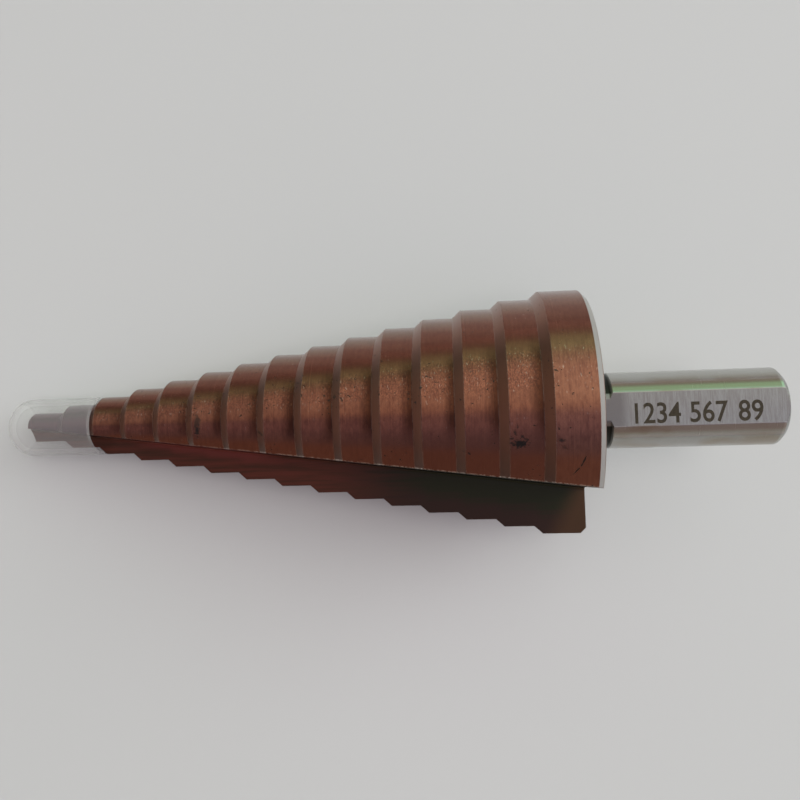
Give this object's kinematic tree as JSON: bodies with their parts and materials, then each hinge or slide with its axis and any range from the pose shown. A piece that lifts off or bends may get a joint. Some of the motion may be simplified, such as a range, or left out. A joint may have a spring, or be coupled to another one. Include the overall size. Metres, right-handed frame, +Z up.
{
  "type": "step drill",
  "caption": "Cone-shaped stepped drill with straight flutes, a flatted round shank and a clear push-on cap over its point, lying on its side.",
  "frame": {"origin": "on the surface it lies on, under the middle of its box", "axes": "+X towards the shank along the drill as seen from above, +Z up, +Y across it"},
  "size_m": [0.1028, 0.032, 0.032],
  "materials": {
    "coated_steel": "ground and coated reddish bronze, satin; bare steel shank",
    "clear_cap": "milky translucent soft plastic"
  },
  "bodies": {
    "drill": {"drill_body": "coated_steel"},
    "cap": {"tip_cap": "clear_cap"}
  },
  "joints": [
    {"name": "cap_pull", "type": "slide", "parent": "drill", "child": "cap", "axis": [-0.9863, 0, -0.1649], "range_m": [0, 0.012]}
  ]
}
